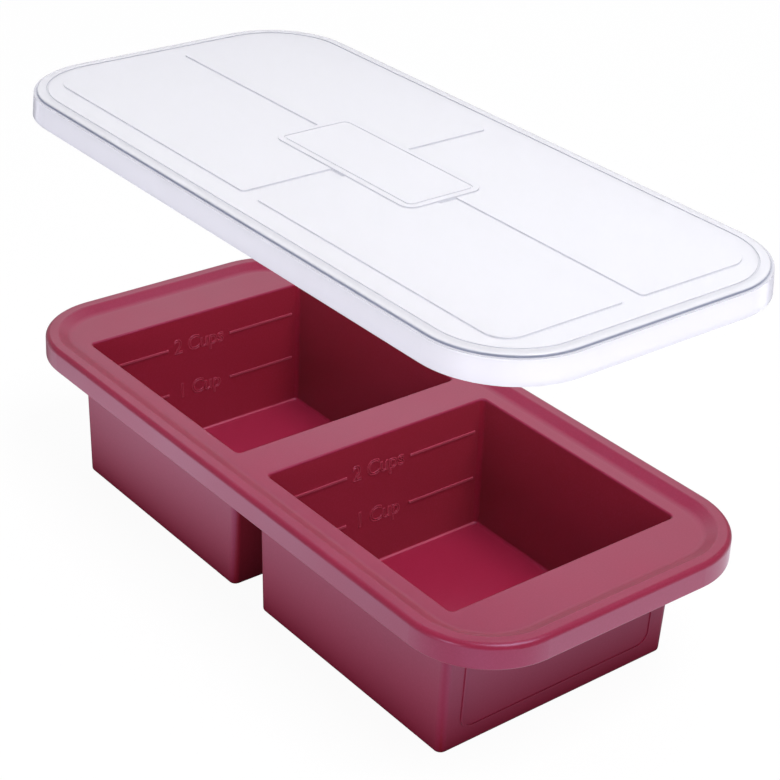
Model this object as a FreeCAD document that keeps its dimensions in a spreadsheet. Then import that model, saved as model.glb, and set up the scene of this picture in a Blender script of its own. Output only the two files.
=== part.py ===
import FreeCAD, Part
import math
import os

import Sketcher

# Freezer tray for portions of baby food: a silicone moulding with two square pockets, the steel
# wire that stiffens its rim, and a stiff lid that slips over the rim. Millimetres, +X along the
# tray, +Z up, origin on the table under the middle of the tray.

doc = FreeCAD.newDocument("freezer_tray")

# ---------------------------------------------------------------- driving dimensions

DIMENSIONS = [
    # the rim and the deck inside it
    ("rim_length", 296.0, "rim, outside, along X"),
    ("rim_width", 140.0, "rim, outside, along Y"),
    ("rim_corner", 33.0, "radius of the rim's corners in plan"),
    ("rim_height", 10.0, "height of the rim's outer face"),
    ("rim_band", 8.0, "thickness of the solid band that holds the wire"),
    ("lip_width", 5.2, "width of the raised lip along the outer edge"),
    ("lip_height", 2.5, "height of the lip over the deck"),
    ("slope_share", 0.41, "share of the deck beside a pocket that slopes down from the lip"),
    ("lip_round", 1.6, "rounding of the slope into the lip"),
    ("dish_round", 5.0, "rounding of the slope into the deck"),
    ("rim_round", 2.0, "rounding of the rim's outer top edge"),
    ("hem_round", 0.8, "rounding of the rim's lower outer edge"),
    ("round_share", 0.96, "largest share of a face that the roundings at its edges take"),
    ("deck_thick", 3.0, "thickness of the deck between rim and pockets"),
    # the two pockets
    ("tray_height", 62.0, "from the table to the top of the lip"),
    ("pocket_length", 107.0, "mouth of a pocket along X"),
    ("pocket_width", 106.0, "mouth of a pocket along Y"),
    ("pocket_spacing", 19.0, "deck between the two mouths"),
    ("pocket_corner", 2.0, "upright corners inside a pocket"),
    ("shell_corner", 3.0, "upright corners outside a pocket"),
    ("end_draft", 2.0, "lean of the walls that face along X, degrees"),
    ("side_draft", 1.0, "lean of the walls that face along Y, degrees"),
    ("wall", 2.5, "thickness of the pocket walls"),
    ("floor_thick", 2.5, "thickness of the pocket floors"),
    ("mouth_round", 0.8, "rounding of the deck into a pocket"),
    ("floor_round", 1.2, "rounding between the walls and the floor"),
    ("foot_round", 1.5, "rounding of the outer bottom edges"),
    # level marks on the left wall of each pocket
    ("one_cup_level", 21.9, "height of the one cup mark over the floor"),
    ("two_cup_level", 43.2, "height of the two cup mark over the floor"),
    ("mark_thick", 0.9, "height of a mark's line"),
    ("mark_raise", 0.5, "how far a line stands out from the wall"),
    ("mark_gap", 31.5, "space for the figures between a mark's two lines"),
    ("mark_margin", 3.0, "from a line's outer end to the pocket's corner"),
    # raised frame on the outer end wall of the right pocket
    ("frame_width", 92.0, "frame, outside, along Y"),
    ("frame_height", 38.0, "frame, outside, up the wall"),
    ("frame_foot", 7.0, "from the table to the frame"),
    ("frame_corner", 6.0, "radius of the frame's corners"),
    ("frame_line", 0.9, "width of the frame's line"),
    ("frame_raise", 0.4, "how far the frame stands out from the wall"),
    # the wire
    ("wire_diameter", 4.0, "diameter of the wire"),
    ("wire_clearance", 0.1, "silicone clear of the wire all round"),
    # the lid
    ("lid_fit", 0.4, "clearance between rim and skirt all round"),
    ("lid_wall", 1.2, "thickness of the lid's skirt"),
    ("lid_plate", 1.2, "thickness of the lid's top"),
    ("lid_rise", 0.9, "rise of the top's underside over the seat"),
    ("lid_bearing", 4.0, "width of the seat that bears on the lip"),
    ("lid_skirt", 8.0, "depth of the skirt under the seat"),
    ("lid_flare", 0.6, "how far the skirt opens out on each side"),
    ("lid_ledge", 1.2, "ledge round the top of the skirt"),
    ("lid_step", 1.1, "height of the top over the ledge"),
    ("lid_round", 0.7, "rounding of the lid's top edge"),
    ("groove_inset", 3.7, "from the top's edge to the ring groove"),
    ("groove_width", 0.8, "width of the ring groove and of the plaque's line"),
    ("groove_depth", 0.3, "depth of the ring groove and of the plaque's line"),
    ("panel_inset", 14.2, "from the top's edge to the raised panels"),
    ("panel_raise", 0.6, "height of the panels over the channels"),
    ("field_corner", 9.0, "radius of the panels' four outermost corners"),
    ("channel_width", 8.4, "channels that part the panels"),
    ("channel_round", 1.5, "rounding of the panels' corners where a channel runs out"),
    ("plaque_length", 81.0, "plaque in the middle of the lid, along X"),
    ("plaque_width", 35.0, "plaque, along Y"),
    ("plaque_corner", 5.0, "radius of the plaque's corners"),
    ("plaque_raise", 1.1, "height of the plaque over the channels"),
    ("plaque_margin", 2.2, "from the plaque's edge to its line"),
    ("lid_lift", 105.0, "height of the lid over its seat on the lip"),
]

# ---------------------------------------------------------------- sizes that follow from them

DERIVED = [
    ("rim_bottom", "=tray_height - rim_height"),
    ("deck_top", "=tray_height - lip_height"),
    ("hollow_height", "=rim_height - lip_height - deck_thick"),
    ("hollow_length", "=rim_length - 2 * rim_band"),
    ("hollow_width", "=rim_width - 2 * rim_band"),
    ("hollow_corner", "=rim_corner - rim_band"),
    ("deck_length", "=rim_length - 2 * lip_width"),
    ("deck_width", "=rim_width - 2 * lip_width"),
    ("deck_corner", "=rim_corner - lip_width"),
    ("pocket_centre", "=(pocket_length + pocket_spacing) / 2"),
    ("side_room", "=(deck_width - pocket_width) / 2"),
    ("end_room", "=(deck_length - pocket_length) / 2 - pocket_centre"),
    ("corner_along", "=max(deck_corner - end_room; 0)"),
    ("corner_across", "=max(deck_corner - side_room; 0)"),
    ("corner_room", "=deck_corner - hypot(corner_along; corner_across)"),
    ("deck_room", "=min(side_room; end_room; corner_room)"),
    ("lip_slope", "=slope_share * deck_room"),
    ("dish_length", "=deck_length - 2 * lip_slope"),
    ("dish_width", "=deck_width - 2 * lip_slope"),
    ("dish_corner", "=deck_corner - lip_slope"),
    ("slope_angle", "=atan(lip_height / lip_slope)"),
    ("slope_turn", "=tan(slope_angle / 2)"),
    ("slope_reach", "=round_share * lip_slope / cos(slope_angle) / slope_turn"),
    ("flat_reach", "=round_share * (deck_room - lip_slope - mouth_round) / slope_turn"),
    ("lip_reach", "=slope_reach * lip_round / (lip_round + dish_round)"),
    ("lip_blend", "=min(lip_round; lip_reach)"),
    ("dish_blend", "=min(dish_round; slope_reach - lip_reach; flat_reach)"),
    ("rim_blend", "=min(rim_round; round_share * lip_width - lip_blend * slope_turn)"),
    ("hem_blend", "=min(hem_round; round_share * rim_height - rim_blend)"),
    ("pocket_depth", "=deck_top - floor_thick"),
    ("floor_length", "=pocket_length - 2 * pocket_depth * tan(end_draft)"),
    ("floor_width", "=pocket_width - 2 * pocket_depth * tan(side_draft)"),
    ("shell_length", "=pocket_length + 2 * wall"),
    ("shell_width", "=pocket_width + 2 * wall"),
    ("foot_length", "=shell_length - 2 * deck_top * tan(end_draft)"),
    ("foot_width", "=shell_width - 2 * deck_top * tan(side_draft)"),
    ("floor_blend", "=min(floor_round; round_share * pocket_corner)"),
    ("foot_blend", "=min(foot_round; round_share * shell_corner)"),
    ("mark_reach", "=floor_width / 2 - mark_margin"),
    ("mark_length", "=mark_reach - mark_gap / 2"),
    ("frame_inner_width", "=frame_width - 2 * frame_line"),
    ("frame_inner_height", "=frame_height - 2 * frame_line"),
    ("frame_inner_corner", "=frame_corner - frame_line"),
    ("frame_middle", "=frame_foot + frame_height / 2"),
    ("frame_place", "=pocket_centre + foot_length / 2 + frame_middle * tan(end_draft)"),
    ("wire_length", "=rim_length - rim_band"),
    ("wire_width", "=rim_width - rim_band"),
    ("wire_corner", "=rim_corner - rim_band / 2"),
    ("wire_height", "=tray_height - rim_height / 2"),
    ("wire_radius", "=wire_diameter / 2"),
    ("channel_radius", "=wire_diameter / 2 + wire_clearance"),
    ("seat_length", "=rim_length + 2 * lid_fit"),
    ("seat_width", "=rim_width + 2 * lid_fit"),
    ("seat_corner", "=rim_corner + lid_fit"),
    ("mouth_length", "=seat_length + 2 * lid_flare"),
    ("mouth_width", "=seat_width + 2 * lid_flare"),
    ("mouth_corner", "=seat_corner + lid_flare"),
    ("skirt_length", "=seat_length + 2 * lid_wall"),
    ("skirt_width", "=seat_width + 2 * lid_wall"),
    ("skirt_corner", "=seat_corner + lid_wall"),
    ("brim_length", "=mouth_length + 2 * lid_wall"),
    ("brim_width", "=mouth_width + 2 * lid_wall"),
    ("brim_corner", "=mouth_corner + lid_wall"),
    ("under_length", "=seat_length - 2 * lid_bearing"),
    ("under_width", "=seat_width - 2 * lid_bearing"),
    ("under_corner", "=seat_corner - lid_bearing"),
    ("top_height", "=lid_rise + lid_plate"),
    ("ledge_height", "=top_height - lid_step"),
    ("lid_blend", "=min(lid_round; round_share * lid_step)"),
    ("top_length", "=skirt_length - 2 * lid_ledge"),
    ("top_width", "=skirt_width - 2 * lid_ledge"),
    ("top_corner", "=skirt_corner - lid_ledge"),
    ("ring_length", "=top_length - 2 * groove_inset"),
    ("ring_width", "=top_width - 2 * groove_inset"),
    ("ring_corner", "=top_corner - groove_inset"),
    ("ring_inner_length", "=ring_length - 2 * groove_width"),
    ("ring_inner_width", "=ring_width - 2 * groove_width"),
    ("ring_inner_corner", "=ring_corner - groove_width"),
    ("field_length", "=top_length - 2 * panel_inset"),
    ("field_width", "=top_width - 2 * panel_inset"),
    ("line_length", "=plaque_length - 2 * plaque_margin"),
    ("line_width", "=plaque_width - 2 * plaque_margin"),
    ("line_corner", "=plaque_corner - plaque_margin"),
    ("line_inner_length", "=line_length - 2 * groove_width"),
    ("line_inner_width", "=line_width - 2 * groove_width"),
    ("line_inner_corner", "=line_corner - groove_width"),
    ("plaque_top", "=top_height + plaque_raise"),
    ("lid_place", "=tray_height + lid_lift"),
]

sheet = doc.addObject("Spreadsheet::Sheet", "sizes")
for row, (alias, number, note) in enumerate(DIMENSIONS, start=1):
    sheet.set(f"A{row}", note)
    sheet.set(f"B{row}", str(number))
    sheet.setAlias(f"B{row}", alias)
for row, (alias, formula) in enumerate(DERIVED, start=len(DIMENSIONS) + 1):
    sheet.set(f"B{row}", formula)
    sheet.setAlias(f"B{row}", alias)
doc.recompute()


def size(alias):
    """The present value of a cell, for starting geometry and for finding edges."""
    return float(sheet.get(alias))


def bind(feature, **links):
    """Ties properties of a feature to cells, such as Length="rim_height"."""
    for path, formula in links.items():
        feature.setExpression(path, formula)


# ---------------------------------------------------------------- sketches


def new_sketch(body, name, role, offset):
    """A sketch on one of the body's own planes, moved off it by cells named per axis."""
    sketch = body.newObject("Sketcher::SketchObject", name)
    plane = next(item for item in body.Origin.OriginFeatures if item.Role == role)
    sketch.AttachmentSupport = [(plane, "")]
    sketch.MapMode = "FlatFace"
    for axis, formula in offset.items():
        sketch.setExpression(f"AttachmentOffset.Base.{axis}", formula)
    return sketch


def limit(sketch, name, kind, places, alias):
    """A named dimension in a sketch, driven by a cell."""
    index = sketch.addConstraint(Sketcher.Constraint(kind, *places, size(alias)))
    sketch.renameConstraint(index, name)
    sketch.setExpression(f"Constraints.{name}", f"sizes.{alias}")


# Outlines whose cells aren't simply named name_length, name_width and name_corner.
OWN_CELLS = {
    "field": ("field_length", "field_width", "field_corner"),
    "frame": ("frame_width", "frame_height", "frame_corner"),
    "frame_inner": ("frame_inner_width", "frame_inner_height", "frame_inner_corner"),
    "floor": ("floor_length", "floor_width", "pocket_corner"),
    "shell": ("shell_length", "shell_width", "shell_corner"),
    "foot": ("foot_length", "foot_width", "shell_corner"),
}


def cells_of(prefix):
    """The cells that hold an outline's length, width and corner radius."""
    plain = (f"{prefix}_length", f"{prefix}_width", f"{prefix}_corner")
    return OWN_CELLS.get(prefix, plain)


def rounded_rectangle(sketch, prefix):
    """A rounded rectangle about the sketch's origin, tied to the outline's cells."""
    length, width, corner = cells_of(prefix)
    far_x, far_y, radius = size(length) / 2, size(width) / 2, size(corner)
    near_x, near_y = far_x - radius, far_y - radius
    sides = [
        ((-near_x, -far_y), (near_x, -far_y)),
        ((far_x, -near_y), (far_x, near_y)),
        ((near_x, far_y), (-near_x, far_y)),
        ((-far_x, near_y), (-far_x, -near_y)),
    ]
    middles = [(near_x, -near_y), (near_x, near_y), (-near_x, near_y), (-near_x, -near_y)]
    first = sketch.GeometryCount
    for turn, (start, end) in enumerate(sides):
        sketch.addGeometry(Part.LineSegment(FreeCAD.Vector(*start), FreeCAD.Vector(*end)))
        circle = Part.Circle(FreeCAD.Vector(*middles[turn]), FreeCAD.Vector(0, 0, 1), radius)
        start_angle = math.radians(270 + 90 * turn)
        sketch.addGeometry(Part.ArcOfCircle(circle, start_angle, start_angle + math.pi / 2))
    for step in range(8):
        after = first + (step + 1) % 8
        sketch.addConstraint(Sketcher.Constraint("Tangent", first + step, 2, after, 1))
    for line, way in ((0, "Horizontal"), (2, "Vertical"), (4, "Horizontal"), (6, "Vertical")):
        sketch.addConstraint(Sketcher.Constraint(way, first + line))
    for arc in (3, 5, 7):
        sketch.addConstraint(Sketcher.Constraint("Equal", first + 1, first + arc))
    sketch.addConstraint(Sketcher.Constraint("Symmetric", first, 1, first + 4, 1, -1, 1))
    limit(sketch, f"{prefix}_along", "DistanceX", (first + 6, 1, first + 2, 1), length)
    limit(sketch, f"{prefix}_across", "DistanceY", (first, 1, first + 4, 1), width)
    limit(sketch, f"{prefix}_turn", "Radius", (first + 1,), corner)


def outline(body, name, offset, *prefixes, role="XY_Plane"):
    """A sketch that holds one rounded rectangle, or a ring of two."""
    sketch = new_sketch(body, name, role, offset)
    for prefix in prefixes:
        rounded_rectangle(sketch, prefix)
    return sketch


def circle_of(sketch, alias):
    """Circle of the radius in a cell, about the sketch's origin."""
    circle = Part.Circle(FreeCAD.Vector(), FreeCAD.Vector(0, 0, 1), size(alias))
    sketch.addGeometry(circle)
    sketch.addConstraint(Sketcher.Constraint("Coincident", 0, 3, -1, 1))
    limit(sketch, "radius", "Radius", (0,), alias)


# ---------------------------------------------------------------- features


def add(body, kind, name, profile, **links):
    """A PartDesign feature on a sketch; the links name its driven properties."""
    feature = body.newObject(f"PartDesign::{kind}", name)
    feature.Profile = profile
    bind(feature, **links)
    profile.Visibility = False
    return feature


def loft(body, kind, name, start, end):
    """Ruled loft between two sketches, added or cut away."""
    feature = add(body, kind, name, start)
    feature.Sections = [end]
    feature.Ruled = True
    return feature


def pipe(body, kind, name, radius):
    """Round bar along the wire's closed path, added or cut away."""
    path = outline(body, f"{name}_path", {"z": "sizes.wire_height"}, "wire")
    place = {
        "x": "-sizes.wire_width / 2",
        "y": "sizes.wire_height",
        "z": "-(sizes.wire_length / 2 - sizes.wire_corner)",
    }
    section = new_sketch(body, f"{name}_section", "YZ_Plane", place)
    circle_of(section, radius)
    feature = add(body, kind, name, section)
    feature.Spine = (path, [f"Edge{number}" for number in range(1, 9)])
    return feature


def distance(point, length, width, corner):
    """How far a point lies outside a rounded rectangle about the origin, seen in plan."""
    past_x = abs(point.x) - length / 2 + corner
    past_y = abs(point.y) - width / 2 + corner
    outside = math.hypot(max(past_x, 0), max(past_y, 0))
    return outside + min(max(past_x, past_y), 0) - corner


def edges_of(feature, height, prefix, middle=0.0):
    """Names of the edges that run along an outline at a height."""
    length, width, corner = [size(alias) for alias in cells_of(prefix)]
    names = []
    for number, edge in enumerate(feature.Shape.Edges, start=1):
        on_line = True
        for share in (0.0, 0.5, 1.0):
            low, high = edge.ParameterRange
            point = edge.valueAt(low + share * (high - low)) - FreeCAD.Vector(middle, 0, 0)
            flat = abs(distance(point, length, width, corner)) < 0.01
            on_line = on_line and flat and abs(point.z - height) < 0.01
        if on_line:
            names.append(f"Edge{number}")
    return names


def round_edges(body, name, radius, *lines):
    """Fillet along outlines, each given as height, prefix and middle."""
    doc.recompute()
    base = body.Tip
    names = [edge for line in lines for edge in edges_of(base, *line)]
    feature = body.newObject("PartDesign::Fillet", name)
    feature.Base = (base, names)
    bind(feature, Radius=f"sizes.{radius}")
    doc.recompute()
    return feature


def new_body(label):
    body = doc.addObject("PartDesign::Body", label)
    body.Label = label
    return body


# ---------------------------------------------------------------- silicone tray


def make_rim(body):
    """Solid band with a lip round its top, and the deck that it carries."""
    block = outline(body, "rim_outline", {"z": "sizes.rim_bottom"}, "rim")
    add(body, "Pad", "rim_block", block, Length="sizes.rim_height")
    hollow = outline(body, "hollow_outline", {"z": "sizes.rim_bottom"}, "hollow")
    under = add(body, "Pocket", "hollow_under_deck", hollow, Length="sizes.hollow_height")
    under.Reversed = True
    deck = outline(body, "deck_outline", {"z": "sizes.tray_height"}, "deck")
    dish = outline(body, "dish_outline", {"z": "sizes.deck_top"}, "dish")
    loft(body, "SubtractiveLoft", "deck_inside_lip", deck, dish)
    top, low = size("tray_height"), size("rim_bottom")
    round_edges(body, "rim_top_edge", "rim_blend", (top, "rim"))
    round_edges(body, "rim_hem", "hem_blend", (low, "rim"))
    round_edges(body, "lip_edge", "lip_blend", (top, "deck"))
    round_edges(body, "dish_edge", "dish_blend", (size("deck_top"), "dish"))


def make_pockets(body):
    """Both pockets: leaning walls under the deck, then the space inside them."""
    for side, sign in (("left", -1), ("right", 1)):
        middle = f"{sign} * sizes.pocket_centre"
        upper = outline(body, f"{side}_shell", {"x": middle, "z": "sizes.deck_top"}, "shell")
        lower = outline(body, f"{side}_foot", {"x": middle}, "foot")
        loft(body, "AdditiveLoft", f"{side}_walls", upper, lower)
    places = [sign * size("pocket_centre") for sign in (-1, 1)]
    round_edges(body, "foot_edges", "foot_blend", *[(0.0, "foot", place) for place in places])
    for side, sign in (("left", -1), ("right", 1)):
        middle = f"{sign} * sizes.pocket_centre"
        upper = outline(body, f"{side}_mouth", {"x": middle, "z": "sizes.deck_top"}, "pocket")
        lower = outline(body, f"{side}_floor", {"x": middle, "z": "sizes.floor_thick"}, "floor")
        loft(body, "SubtractiveLoft", f"{side}_inside", upper, lower)
    floor, deck = size("floor_thick"), size("deck_top")
    round_edges(body, "floor_edges", "floor_blend", *[(floor, "floor", p) for p in places])
    round_edges(body, "mouth_edges", "mouth_round", *[(deck, "pocket", p) for p in places])


def make_marks(body):
    """Lines on the left wall of each pocket at one and two cups, split round the figures."""
    for side, sign in (("left", -1), ("right", 1)):
        for level in ("one_cup", "two_cup"):
            for half, way in (("near", -1), ("far", 1)):
                line = body.newObject("PartDesign::AdditiveBox", f"{side}_{level}_{half}")
                height = f"sizes.{level}_level"
                wall_at = f"sizes.floor_length / 2 + {height} * tan(sizes.end_draft)"
                start = "sizes.mark_gap / 2" if way > 0 else "-sizes.mark_reach"
                bind(
                    line,
                    Length="2 * sizes.mark_raise",
                    Width="sizes.mark_length",
                    Height="sizes.mark_thick",
                )
                line.setExpression(
                    "Placement.Base.x",
                    f"{sign} * sizes.pocket_centre - ({wall_at}) - sizes.mark_raise",
                )
                line.setExpression("Placement.Base.y", start)
                line.setExpression(
                    "Placement.Base.z",
                    f"sizes.floor_thick + {height} - sizes.mark_thick / 2",
                )


def make_frame(body):
    """Raised outline on the right end wall, lying on the wall's lean."""
    place = {"y": "sizes.frame_middle", "z": "sizes.frame_place"}
    ring = outline(body, "frame_outline", place, "frame", "frame_inner", role="YZ_Plane")
    ring.AttachmentOffset = FreeCAD.Placement(
        ring.AttachmentOffset.Base, FreeCAD.Rotation(FreeCAD.Vector(1, 0, 0), 1)
    )
    ring.setExpression("AttachmentOffset.Rotation.Angle", "sizes.end_draft")
    raised = add(body, "Pad", "end_frame", ring, Length="2 * sizes.frame_raise")
    raised.Midplane = True


def make_tray():
    body = new_body("silicone_tray")
    make_rim(body)
    make_pockets(body)
    make_marks(body)
    make_frame(body)
    pipe(body, "SubtractivePipe", "wire_channel", "channel_radius")
    return body


# ---------------------------------------------------------------- wire and lid


def make_wire():
    body = new_body("rim_wire")
    pipe(body, "AdditivePipe", "wire_bar", "wire_radius")
    return body


def make_shell(body):
    """Flared skirt with a ledge round the stepped top; the seat is at zero."""
    brim = outline(body, "brim_outline", {"z": "-sizes.lid_skirt"}, "brim")
    shoulder = outline(body, "shoulder_outline", {"z": "sizes.ledge_height"}, "skirt")
    loft(body, "AdditiveLoft", "skirt_outside", brim, shoulder)
    top = outline(body, "top_outline", {"z": "sizes.ledge_height"}, "top")
    add(body, "Pad", "top_step", top, Length="sizes.lid_step")
    round_edges(body, "top_edge", "lid_blend", (size("top_height"), "top"))
    mouth = outline(body, "mouth_outline", {"z": "-sizes.lid_skirt"}, "mouth")
    seat = outline(body, "seat_outline", {}, "seat")
    loft(body, "SubtractiveLoft", "skirt_inside", mouth, seat)
    under = outline(body, "under_outline", {}, "under")
    hollow = add(body, "Pocket", "top_underside", under, Length="sizes.lid_rise")
    hollow.Reversed = True


def upright_edges(feature, places):
    """Names of the upright edges that stand at points of the plan."""
    names = []
    for number, edge in enumerate(feature.Shape.Edges, start=1):
        start, end = edge.Vertexes[0].Point, edge.Vertexes[-1].Point
        leans = math.hypot(end.x - start.x, end.y - start.y)
        for x, y in places:
            if leans < 0.01 and math.hypot(start.x - x, start.y - y) < 0.01:
                names.append(f"Edge{number}")
    return names


def make_panels(body):
    """Raised field on the top, parted into four panels by a cross of channels."""
    field = outline(body, "field_outline", {"z": "sizes.top_height"}, "field")
    add(body, "Pad", "panels", field, Length="sizes.panel_raise")
    for name, along, across in (
        ("channel_along", "top_length", "channel_width"),
        ("channel_across", "channel_width", "top_width"),
    ):
        channel = body.newObject("PartDesign::SubtractiveBox", name)
        bind(
            channel,
            Length=f"sizes.{along}",
            Width=f"sizes.{across}",
            Height="sizes.panel_raise",
        )
        channel.setExpression("Placement.Base.x", f"-sizes.{along} / 2")
        channel.setExpression("Placement.Base.y", f"-sizes.{across} / 2")
        channel.setExpression("Placement.Base.z", "sizes.top_height")
    doc.recompute()
    half = size("channel_width") / 2
    far_x, far_y = size("field_length") / 2, size("field_width") / 2
    ends = [(sign * far_x, side * half) for sign in (-1, 1) for side in (-1, 1)]
    ends += [(sign * half, side * far_y) for sign in (-1, 1) for side in (-1, 1)]
    corners = upright_edges(body.Tip, ends)
    rounding = body.newObject("PartDesign::Fillet", "channel_corners")
    rounding.Base = (channel, corners)
    bind(rounding, Radius="sizes.channel_round")


def make_plaque(body):
    """Raised plaque over the crossing of the channels, with a sunk line round it."""
    plaque = outline(body, "plaque_outline", {"z": "sizes.top_height"}, "plaque")
    add(body, "Pad", "plaque_block", plaque, Length="sizes.plaque_raise")
    line = outline(body, "line_outline", {"z": "sizes.plaque_top"}, "line", "line_inner")
    add(body, "Pocket", "plaque_line", line, Length="sizes.groove_depth")


def make_lid():
    body = new_body("lid")
    make_shell(body)
    ring = outline(body, "ring_outline", {"z": "sizes.top_height"}, "ring", "ring_inner")
    add(body, "Pocket", "ring_groove", ring, Length="sizes.groove_depth")
    make_panels(body)
    make_plaque(body)
    body.setExpression("Placement.Base.z", "sizes.lid_place")
    return body


# ---------------------------------------------------------------- build, check, write

bodies = [make_tray(), make_wire(), make_lid()]
doc.recompute()

for item in doc.Objects:
    if "Invalid" in item.State or "Error" in item.State:
        raise RuntimeError(f"{item.Name} failed: {item.State}")
os.makedirs("parts", exist_ok=True)
for body in bodies:
    shape = body.Shape
    if shape.isNull() or not shape.isValid() or len(shape.Solids) != 1:
        raise RuntimeError(f"{body.Label} isn't one valid solid")
for body in bodies:
    body.Shape.exportStep(f"parts/{body.Label}.step")
    box = body.Shape.BoundBox
    print(
        f"{body.Label}: {body.Shape.Volume / 1000:.1f} cm3,",
        f"x {box.XMin:.1f}..{box.XMax:.1f}, y {box.YMin:.1f}..{box.YMax:.1f},",
        f"z {box.ZMin:.1f}..{box.ZMax:.1f}",
    )
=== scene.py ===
import math

import bpy
from mathutils import Matrix, Vector


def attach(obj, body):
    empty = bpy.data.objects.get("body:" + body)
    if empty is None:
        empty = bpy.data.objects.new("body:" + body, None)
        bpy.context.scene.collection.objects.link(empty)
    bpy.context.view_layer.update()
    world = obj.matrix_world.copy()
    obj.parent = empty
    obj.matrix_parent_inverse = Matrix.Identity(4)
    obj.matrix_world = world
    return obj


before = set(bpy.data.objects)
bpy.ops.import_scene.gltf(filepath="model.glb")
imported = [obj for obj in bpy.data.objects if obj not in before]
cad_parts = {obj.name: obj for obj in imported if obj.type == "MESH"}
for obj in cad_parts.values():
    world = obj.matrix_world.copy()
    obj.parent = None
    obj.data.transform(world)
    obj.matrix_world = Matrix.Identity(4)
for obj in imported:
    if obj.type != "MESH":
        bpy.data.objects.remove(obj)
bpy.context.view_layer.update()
print("frame loaded")

mm = 0.001


def hexColour(code):
    # sRGB hex to the linear colour that the shaders take
    parts = [int(code[at:at + 2], 16) / 255 for at in (0, 2, 4)]
    linear = [p / 12.92 if p <= 0.04045 else ((p + 0.055) / 1.055) ** 2.4 for p in parts]
    return (*linear, 1.0)


def deselectAll():
    bpy.ops.object.select_all(action="DESELECT")


cameraSpot = {
    "place": (539.6, -435.2, 453.6),  # mm, from the middle of the tray's foot
    "aim": (-6.7, 27.0, 104.5),  # mm
    "roll": 3.2,  # degrees
    "lens": 94.4,  # mm on a 36 mm sensor
    "shift": (-0.030, -0.118),
    "clip": (0.01, 20),  # m
}


def makeCamera(spot):
    camera = bpy.data.objects.new("camera", bpy.data.cameras.new("camera"))
    bpy.context.scene.collection.objects.link(camera)
    place, aim = Vector(spot["place"]) * mm, Vector(spot["aim"]) * mm
    look = (aim - place).to_track_quat("-Z", "Y").to_matrix().to_4x4()
    roll = Matrix.Rotation(math.radians(spot["roll"]), 4, "Z")
    camera.matrix_world = Matrix.Translation(place) @ look @ roll
    camera.data.lens = spot["lens"]
    camera.data.shift_x, camera.data.shift_y = spot["shift"]
    camera.data.clip_start, camera.data.clip_end = spot["clip"]
    bpy.context.scene.camera = camera
    print("camera made")


def addNode(tree, kind, inputs=None, **settings):
    # one node with its settings; an input is a plain value or the socket that feeds it
    node = tree.nodes.new(kind)
    for name, value in settings.items():
        setattr(node, name, value)
    for name, value in (inputs or {}).items():
        if isinstance(value, bpy.types.NodeSocket):
            tree.links.new(value, node.inputs[name])
        else:
            node.inputs[name].default_value = value
    return node


def startMaterial(name):
    material = bpy.data.materials.new(name)
    material.use_nodes = True
    return material, material.node_tree, material.node_tree.nodes["Principled BSDF"]


silicone = {
    "colour": "8E1A37",
    "deep": "821732",  # the two colours drift into each other along the wave
    "dusty": "9B2B4B",  # specks of the grain
    "wall": "88182B",  # painted light: the pockets' thin walls are painted redder than the thick rim, standing in for red light bouncing in the hollow
    # painted light: the pockets' floors, facing up, are painted paler and bluer than their
    # walls, as if lit from above
    "floor": "961B3B",
    "pocket": (116.7, 53.75, 58.5),  # mm from the middle of the foot, short of the outer walls
    "mark": "BC566C",  # painted highlight on the raised level lines
    "figureHighlight": "9C2C40",  # painted highlight on the raised figures beside them
    "markReach": 0.9,  # mm, half as thick as a raised line that gets the painted highlight
    "markDepth": (0.3, 0.9),  # share of open paths inside it where its painted highlight is full and gone
    "footBend": (0.30, 0.48),  # upward times sideways share of a face, from none to full
    "footHighlight": 0.75,  # how strong the painted highlight on the rounding at the foot of a marked wall gets
    "bloom": "CCD4FF",  # colour of the satin reflection
    "shine": 0.62,
    "sheen": (0.10, 0.45),  # weight and roughness of the dust-like sheen
    "roughness": (0.28, 0.36),
    "roughSpan": (0.3, 0.7),  # heights of the wave between which the roughness changes
    "ior": 1.45,
    "grain": 0.7,  # mm between the grains of the mould's blasted face, drawn coarser to show
    "grainDetail": (3.0, 0.6),  # octaves and how strong the fine ones are
    "speck": (0.45, 0.75, 0.35),  # heights of the grain from plain to dusty, and its share
    "blast": (0.12, 0.1),  # strength and depth in mm of the grain
    "wave": 42.0,  # mm, slow unevenness of a soft moulding
    "waveDetail": (2.0, 0.5),
    "sag": (0.3, 0.4),  # strength and depth in mm of the wave
    "rays": 8,
}


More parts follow.
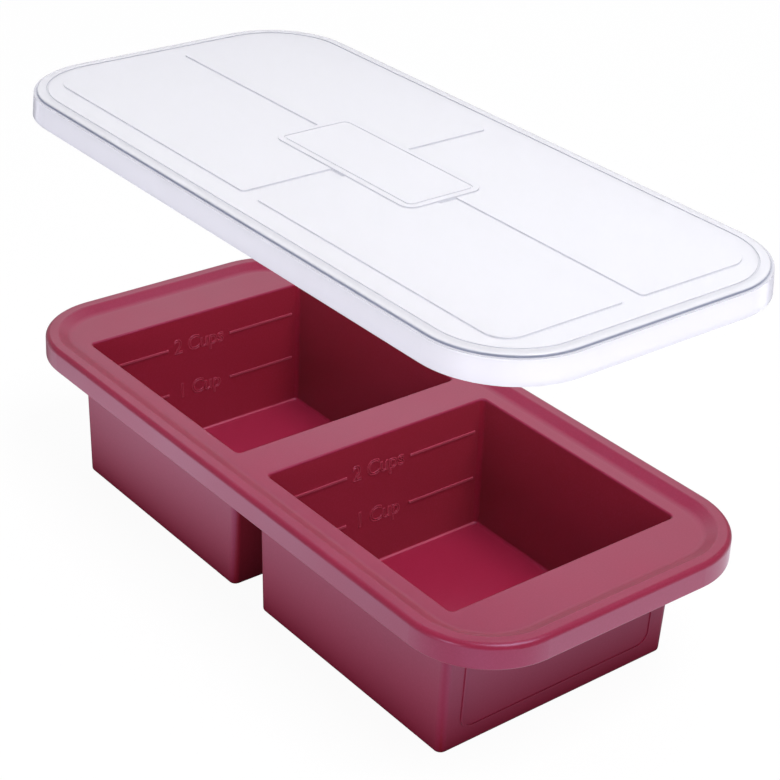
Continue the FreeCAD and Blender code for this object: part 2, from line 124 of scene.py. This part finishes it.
def mouldedSilicone(look):
    # platinum silicone from a fine blasted mould: deep red, satin, milky where seen flat on
    material, tree, shader = startMaterial("mouldedSilicone")
    spots = addNode(tree, "ShaderNodeTexCoord")
    place = spots.outputs["Object"]
    facing = addNode(tree, "ShaderNodeSeparateXYZ", {"Vector": spots.outputs["Normal"]})
    slow = addNode(tree, "ShaderNodeTexNoise", {
        "Vector": place, "Scale": 1 / (look["wave"] * mm),
        "Detail": look["waveDetail"][0], "Roughness": look["waveDetail"][1]})
    grain = addNode(tree, "ShaderNodeTexNoise", {
        "Vector": place, "Scale": 1 / (look["grain"] * mm),
        "Detail": look["grainDetail"][0], "Roughness": look["grainDetail"][1]})
    outer = addNode(tree, "ShaderNodeMix", {
        "Factor": slow.outputs["Fac"],
        "A": hexColour(look["deep"]), "B": hexColour(look["colour"])}, data_type="RGBA")
    # painted light: the pockets' walls and floors get lit and shaded copies of the red, by
    # which way they face
    paintedPocketLight = addNode(tree, "ShaderNodeMix", {
        "Factor": facing.outputs["Z"],
        "A": hexColour(look["wall"]), "B": hexColour(look["floor"])}, data_type="RGBA")
    # within is 1 in the pockets and the gap between them
    off = addNode(tree, "ShaderNodeVectorMath", {0: place}, operation="ABSOLUTE")
    room = addNode(tree, "ShaderNodeVectorMath", {
        0: [reach * mm for reach in look["pocket"]], 1: off.outputs["Vector"]},
        operation="SUBTRACT")
    sides = addNode(tree, "ShaderNodeSeparateXYZ", {"Vector": room.outputs["Vector"]})
    across = addNode(tree, "ShaderNodeMath", {
        0: sides.outputs["X"], 1: sides.outputs["Y"]}, operation="MINIMUM")
    least = addNode(tree, "ShaderNodeMath", {
        0: across.outputs["Value"], 1: sides.outputs["Z"]}, operation="MINIMUM")
    within = addNode(tree, "ShaderNodeMath", {
        0: least.outputs["Value"], 1: 0.0}, operation="GREATER_THAN")
    tint = addNode(tree, "ShaderNodeMix", {
        "Factor": within.outputs["Value"],
        "A": outer.outputs["Result"], "B": paintedPocketLight.outputs["Result"]}, data_type="RGBA")
    speck = addNode(tree, "ShaderNodeMapRange", {
        "Value": grain.outputs["Fac"], "From Min": look["speck"][0],
        "From Max": look["speck"][1], "To Max": look["speck"][2]})
    plain = addNode(tree, "ShaderNodeMix", {
        "Factor": speck.outputs["Result"],
        "A": tint.outputs["Result"], "B": hexColour(look["dusty"])}, data_type="RGBA")
    # painted highlight: the raised lines and figures in the pockets are thin, and are painted
    # paler as if catching the light on their tops
    thin = addNode(tree, "ShaderNodeAmbientOcclusion", {
        "Distance": look["markReach"] * mm}, samples=look["rays"], inside=True,
        only_local=True)
    pale = addNode(tree, "ShaderNodeMapRange", {
        "Value": thin.outputs["AO"], "From Min": look["markDepth"][0],
        "From Max": look["markDepth"][1], "To Min": 1.0, "To Max": 0.0})
    # a painted highlight also goes on the rounding at the foot of the marked wall, half way
    # between upright and level
    bend = addNode(tree, "ShaderNodeMath", {
        0: facing.outputs["X"], 1: facing.outputs["Z"]}, operation="MULTIPLY")
    foot = addNode(tree, "ShaderNodeMapRange", {
        "Value": bend.outputs["Value"], "From Min": look["footBend"][0],
        "From Max": look["footBend"][1], "To Max": look["footHighlight"]})
    paintedHighlightShare = addNode(tree, "ShaderNodeMath", {
        0: pale.outputs["Result"], 1: foot.outputs["Result"]}, operation="MAXIMUM")
    mark = addNode(tree, "ShaderNodeMath", {
        0: paintedHighlightShare.outputs["Value"], 1: within.outputs["Value"]}, operation="MULTIPLY")
    colour = addNode(tree, "ShaderNodeMix", {
        "Factor": mark.outputs["Value"],
        "A": plain.outputs["Result"], "B": hexColour(look["mark"])}, data_type="RGBA")
    satin = addNode(tree, "ShaderNodeMapRange", {
        "Value": slow.outputs["Fac"],
        "From Min": look["roughSpan"][0], "From Max": look["roughSpan"][1],
        "To Min": look["roughness"][0], "To Max": look["roughness"][1]})
    blasted = addNode(tree, "ShaderNodeBump", {
        "Height": grain.outputs["Fac"],
        "Strength": look["blast"][0], "Distance": look["blast"][1] * mm})
    uneven = addNode(tree, "ShaderNodeBump", {
        "Height": slow.outputs["Fac"], "Strength": look["sag"][0],
        "Distance": look["sag"][1] * mm, "Normal": blasted.outputs["Normal"]})
    tree.links.new(colour.outputs["Result"], shader.inputs["Base Color"])
    tree.links.new(satin.outputs["Result"], shader.inputs["Roughness"])
    tree.links.new(uneven.outputs["Normal"], shader.inputs["Normal"])
    shader.inputs["IOR"].default_value = look["ior"]
    shader.inputs["Specular IOR Level"].default_value = look["shine"]
    shader.inputs["Specular Tint"].default_value = hexColour(look["bloom"])
    shader.inputs["Sheen Weight"].default_value = look["sheen"][0]
    shader.inputs["Sheen Roughness"].default_value = look["sheen"][1]
    return material


steel = {
    "colour": "B9BABD",
    "roughness": (0.22, 0.38),
    "draw": 0.25,  # mm between the lines that the die leaves
    "drawDetail": 2.0,
    "lines": (0.15, 0.02),  # their strength and depth in mm
}


def drawnSteel(look):
    # stainless spring wire, drawn through a die: grey, bright along the wire, fine lines
    material, tree, shader = startMaterial("drawnSteel")
    place = addNode(tree, "ShaderNodeTexCoord").outputs["Object"]
    lines = addNode(tree, "ShaderNodeTexNoise", {
        "Vector": place, "Scale": 1 / (look["draw"] * mm), "Detail": look["drawDetail"]})
    satin = addNode(tree, "ShaderNodeMapRange", {
        "Value": lines.outputs["Fac"],
        "To Min": look["roughness"][0], "To Max": look["roughness"][1]})
    bump = addNode(tree, "ShaderNodeBump", {
        "Height": lines.outputs["Fac"],
        "Strength": look["lines"][0], "Distance": look["lines"][1] * mm})
    tree.links.new(satin.outputs["Result"], shader.inputs["Roughness"])
    tree.links.new(bump.outputs["Normal"], shader.inputs["Normal"])
    shader.inputs["Base Color"].default_value = hexColour(look["colour"])
    shader.inputs["Metallic"].default_value = 1.0
    return material


plastic = {
    # painted light: the top is painted grey and the skirt near white, darkening the brightly
    # lit top and lifting the dimmer skirt
    "colour": "D0D0D3",
    "skirt": "FAF9FE",
    # painted shade in the grooves, corners and steep step faces
    "edge": "7C8193",
    "roughness": (0.20, 0.28),
    "ior": 1.49,
    "clear": (0.27, 0.42),  # share of light let through by the thick skirt and by the top
    "grain": 0.5,  # mm, frosted face
    "grainDetail": 2.0,
    "frost": (0.06, 0.05),  # strength and depth in mm of the grain
    "edgeReach": 1.1,  # mm, how far a groove's or step's painted grey shade reaches
    "edgeOpen": (0.35, 0.97),  # share of open sky in a groove where its painted shade is full and gone
    "ledge": 167.95,  # mm over the table; the steep faces above it are the top's steps
    "plate": (168.6, 168.9),  # mm, the ledge's step lies under this and the panels over it
    "panelShare": 0.34,  # the panels are shallow, so their painted shade lines are fainter
    "steep": (0.96, 0.60),  # a face's upward share where the painted grey shade begins and is full
    "rays": 8,
}


def frostedPolypropylene(look):
    # polypropylene from a lightly frosted mould: milky white, with painted blue-grey shade in
    # its grooves and on its steps
    material, tree, shader = startMaterial("frostedPolypropylene")
    spots = addNode(tree, "ShaderNodeTexCoord")
    place = spots.outputs["Object"]
    grain = addNode(tree, "ShaderNodeTexNoise", {
        "Vector": place, "Scale": 1 / (look["grain"] * mm), "Detail": look["grainDetail"]})
    # painted shade: grooves and corners, found by how little sky they see, are painted
    # blue-grey
    corner = addNode(tree, "ShaderNodeAmbientOcclusion", {
        "Distance": look["edgeReach"] * mm}, samples=look["rays"], only_local=True)
    shade = addNode(tree, "ShaderNodeMapRange", {
        "Value": corner.outputs["AO"], "From Min": look["edgeOpen"][0],
        "From Max": look["edgeOpen"][1], "To Min": 1.0, "To Max": 0.0})
    facing = addNode(tree, "ShaderNodeSeparateXYZ", {"Vector": spots.outputs["Normal"]})
    # painted shade also on the steep faces of the top's steps
    steep = addNode(tree, "ShaderNodeMapRange", {
        "Value": facing.outputs["Z"], "From Min": look["steep"][0],
        "From Max": look["steep"][1]})
    at = addNode(tree, "ShaderNodeSeparateXYZ", {"Vector": place})
    above = addNode(tree, "ShaderNodeMath", {
        0: at.outputs["Z"], 1: look["ledge"] * mm}, operation="GREATER_THAN")
    fade = addNode(tree, "ShaderNodeMapRange", {
        "Value": at.outputs["Z"], "From Min": look["plate"][0] * mm,
        "From Max": look["plate"][1] * mm, "To Min": 1.0, "To Max": look["panelShare"]})
    step = addNode(tree, "ShaderNodeMath", {
        0: steep.outputs["Result"], 1: above.outputs["Value"]}, operation="MULTIPLY")
    both = addNode(tree, "ShaderNodeMath", {
        0: step.outputs["Value"], 1: shade.outputs["Result"]}, operation="MAXIMUM")
    paintedShadeLine = addNode(tree, "ShaderNodeMath", {
        0: both.outputs["Value"], 1: fade.outputs["Result"]}, operation="MULTIPLY")
    # painted light: the top is painted grey and the skirt near white
    milkWithPaintedLight = addNode(tree, "ShaderNodeMix", {
        "Factor": above.outputs["Value"],
        "A": hexColour(look["skirt"]), "B": hexColour(look["colour"])}, data_type="RGBA")
    colour = addNode(tree, "ShaderNodeMix", {
        "Factor": paintedShadeLine.outputs["Value"],
        "A": milkWithPaintedLight.outputs["Result"], "B": hexColour(look["edge"])}, data_type="RGBA")
    satin = addNode(tree, "ShaderNodeMapRange", {
        "Value": grain.outputs["Fac"],
        "To Min": look["roughness"][0], "To Max": look["roughness"][1]})
    frost = addNode(tree, "ShaderNodeBump", {
        "Height": grain.outputs["Fac"],
        "Strength": look["frost"][0], "Distance": look["frost"][1] * mm})
    through = addNode(tree, "ShaderNodeMapRange", {
        "Value": above.outputs["Value"],
        "To Min": look["clear"][0], "To Max": look["clear"][1]})
    tree.links.new(colour.outputs["Result"], shader.inputs["Base Color"])
    tree.links.new(satin.outputs["Result"], shader.inputs["Roughness"])
    tree.links.new(frost.outputs["Normal"], shader.inputs["Normal"])
    tree.links.new(through.outputs["Result"], shader.inputs["Transmission Weight"])
    shader.inputs["IOR"].default_value = look["ior"]
    return material


figures = {
    "size": 9.4,  # mm, height of the type
    "narrow": 0.95,
    "stroke": 0.28,  # mm, half the width of the raised line round each figure
    "strokeSteps": 2,  # round the line
    "curveSteps": 5,  # along each curve of a letter
    "merge": 0.01,  # mm
    "smooth": 50,  # degrees, sharper edges stay sharp
    "sink": 0.05,  # mm, how far the lines' middles lie inside the wall
    "wallLean": 2.0,  # degrees
    "floorTop": 2.5,  # mm over the table
    "pocketMiddle": 63.0,  # mm from the tray's middle
    "floorHalf": 51.51,  # mm, from a pocket's middle to the foot of its wall
    "words": {  # what each mark says and its height over the floor in mm
        "oneCup": ("1 Cup", 21.9),
        "twoCups": ("2 Cups", 43.2),
    },
}


def raisedWord(name, word, look):
    # the outline of the letters as a thin raised line, flat at the origin
    deselectAll()
    bpy.ops.object.text_add()
    letters = bpy.context.object
    letters.name = name
    letters.data.body = word
    letters.data.size = look["size"] * mm
    letters.data.align_x, letters.data.align_y = "CENTER", "CENTER"
    letters.data.fill_mode = "NONE"
    letters.data.bevel_depth = look["stroke"] * mm
    letters.data.bevel_resolution = look["strokeSteps"]
    letters.data.resolution_u = look["curveSteps"]
    bpy.ops.object.convert(target="MESH")
    return bpy.context.object


def makeFigures(look, material):
    # one word beside each level line, on the left wall of both pockets
    lean = math.radians(look["wallLean"])
    up = Vector((-math.sin(lean), 0, math.cos(lean)))
    out = Vector((math.cos(lean), 0, math.sin(lean)))
    turn = Matrix((Vector((0, 1, 0)), up, out)).transposed().to_4x4()
    squeeze = Matrix.Diagonal((look["narrow"], 1, 1, 1))
    for label, (word, level) in look["words"].items():
        for side, sign in (("left", -1), ("right", 1)):
            piece = raisedWord(f"{side}_{label}", word, look)
            wall = sign * look["pocketMiddle"] - look["floorHalf"] - level * math.tan(lean)
            spot = Vector((wall, 0, look["floorTop"] + level)) - out * look["sink"]
            piece.matrix_world = Matrix.Translation(spot * mm) @ turn @ squeeze
            bpy.ops.object.transform_apply()
            bpy.ops.object.mode_set(mode="EDIT")
            bpy.ops.mesh.select_all(action="SELECT")
            bpy.ops.mesh.remove_doubles(threshold=look["merge"] * mm)
            bpy.ops.mesh.normals_make_consistent(inside=False)
            bpy.ops.object.mode_set(mode="OBJECT")
            bpy.ops.object.shade_smooth_by_angle(angle=math.radians(look["smooth"]))
            piece.data.materials.clear()
            piece.data.materials.append(material)
            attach(piece, "tray")
    print("figures made")


studio = {
    "floorSide": 12.0,  # m
    "foot": (0.119, 0.055, 0),  # m, half of the ground that the tray covers
    "glowRise": (0.0, 0.06),  # m from there over which the floor's painted glow rises, from a painted shadow at the foot
    "glowFall": (0.08, 0.25),  # and over which it falls to a share
    "glowFar": 0.15,
    "glow": {"X": (0.12, 2.1), "Y": (2.5, 1.6)},  # past ends and sides, at left and right
    "glowEnds": (0.0, 0.12, 0.6),  # m past the ends over which the sides' glow falls to a share
    "glowColour": "EFEFFC",
    "shadowShare": 0.05,
    "white": "FFFFFF",
    "sky": "EAEAF0",
    "skyStrength": 0.42,
    "aim": (0, 0, 0.06),  # m
    "lights": {  # azimuth and height in degrees, distance and side in m, watts
        "softbox": (231, 42, 1.6, 1.3, 5.5),
        "key": (98, 60, 1.4, 0.8, 15.5),
        "fill": (15, 9, 1.7, 0.5, 6.5),
    },
}


def seenDirectly(tree):
    # 1 for what the camera sees itself or through the lid, 0 for bounced light
    path = addNode(tree, "ShaderNodeLightPath")
    return addNode(tree, "ShaderNodeMath", {
        0: path.outputs["Is Camera Ray"], 1: path.outputs["Is Transmission Ray"]},
        operation="MAXIMUM").outputs["Value"]


def makeFloor(look):
    # seen as pale ground, while to bounced rays it glows with painted light, brightest round
    # the tray's foot
    deselectAll()
    bpy.ops.mesh.primitive_plane_add(size=look["floorSide"])
    floor = bpy.context.object
    floor.name = "floor"
    material, tree, shader = startMaterial("paleFloor")
    tree.nodes.remove(shader)
    place = addNode(tree, "ShaderNodeTexCoord").outputs["Object"]
    across = addNode(tree, "ShaderNodeVectorMath", {0: place}, operation="ABSOLUTE")
    past = addNode(tree, "ShaderNodeVectorMath", {
        0: across.outputs["Vector"], 1: look["foot"]}, operation="SUBTRACT")
    parts = addNode(tree, "ShaderNodeSeparateXYZ", {"Vector": past.outputs["Vector"]})
    where = addNode(tree, "ShaderNodeSeparateXYZ", {"Vector": place})
    bands = []
    for axis, (left, right) in look["glow"].items():
        most = addNode(tree, "ShaderNodeMapRange", {
            "Value": where.outputs["X"], "From Min": -look["foot"][0],
            "From Max": look["foot"][0], "To Min": left, "To Max": right})
        rise = addNode(tree, "ShaderNodeMapRange", {
            "Value": parts.outputs[axis], "From Min": look["glowRise"][0],
            "From Max": look["glowRise"][1], "To Max": most.outputs["Result"]})
        fall = addNode(tree, "ShaderNodeMapRange", {
            "Value": parts.outputs[axis], "From Min": look["glowFall"][0],
            "From Max": look["glowFall"][1], "To Min": 1.0, "To Max": look["glowFar"]})
        bands.append(addNode(tree, "ShaderNodeMath", {
            0: rise.outputs["Result"], 1: fall.outputs["Result"]}, operation="MULTIPLY"))
    ends = addNode(tree, "ShaderNodeMapRange", {
        "Value": parts.outputs["X"], "From Min": look["glowEnds"][0],
        "From Max": look["glowEnds"][1], "To Min": 1.0, "To Max": look["glowEnds"][2]})
    sides = addNode(tree, "ShaderNodeMath", {
        0: bands[1].outputs["Value"], 1: ends.outputs["Result"]}, operation="MULTIPLY")
    both = addNode(tree, "ShaderNodeMath", {
        0: bands[0].outputs["Value"], 1: sides.outputs["Value"]}, operation="MAXIMUM")
    # painted light: the floor glows where it would bounce light, darker right at the tray's
    # foot
    glow = addNode(tree, "ShaderNodeEmission", {
        "Color": hexColour(look["glowColour"]), "Strength": both.outputs["Value"]})
    white = addNode(tree, "ShaderNodeEmission", {"Color": hexColour(look["white"])})
    pale = addNode(tree, "ShaderNodeBsdfDiffuse", {"Color": hexColour(look["white"])})
    shown = addNode(tree, "ShaderNodeMixShader", {
        "Fac": look["shadowShare"], 1: white.outputs["Emission"], 2: pale.outputs["BSDF"]})
    floorShade = addNode(tree, "ShaderNodeMixShader", {
        "Fac": seenDirectly(tree), 1: glow.outputs["Emission"], 2: shown.outputs["Shader"]})
    end = tree.nodes["Material Output"]
    tree.links.new(floorShade.outputs["Shader"], end.inputs["Surface"])
    floor.data.materials.append(material)


def makeSky(look):
    world = bpy.data.worlds.new("studio")
    world.use_nodes = True
    tree = world.node_tree
    dim = tree.nodes["Background"]
    dim.inputs["Color"].default_value = hexColour(look["sky"])
    dim.inputs["Strength"].default_value = look["skyStrength"]
    white = addNode(tree, "ShaderNodeBackground", {"Color": hexColour(look["white"])})
    both = addNode(tree, "ShaderNodeMixShader", {
        "Fac": seenDirectly(tree), 1: dim.outputs["Background"],
        2: white.outputs["Background"]})
    tree.links.new(both.outputs["Shader"], tree.nodes["World Output"].inputs["Surface"])
    bpy.context.scene.world = world


def makeLights(look):
    for name, (azimuth, height, distance, side, watts) in look["lights"].items():
        lamp = bpy.data.objects.new(name, bpy.data.lights.new(name, "AREA"))
        bpy.context.scene.collection.objects.link(lamp)
        around, up = math.radians(azimuth), math.radians(height)
        back = Vector((math.sin(around) * math.cos(up), -math.cos(around) * math.cos(up),
                       math.sin(up)))
        lamp.location = Vector(look["aim"]) + back * distance
        lamp.rotation_euler = back.to_track_quat("Z", "Y").to_euler()
        lamp.data.size, lamp.data.energy = side, watts


def makeStudio(look):
    makeFloor(look)
    makeSky(look)
    makeLights(look)
    bpy.context.scene.view_settings.view_transform = "Standard"
    print("studio lit")


def dress(node, material):
    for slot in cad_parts[node].material_slots:
        slot.material = material
    print(node, "dressed")


makeCamera(cameraSpot)
dress("silicone_tray", mouldedSilicone(silicone))
dress("rim_wire", drawnSteel(steel))
dress("lid", frostedPolypropylene(plastic))
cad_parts["lid"].visible_shadow = False  # a thin milky sheet passes most of the light
makeFigures(figures, mouldedSilicone({**silicone, "mark": silicone["figureHighlight"]}))
makeStudio(studio)
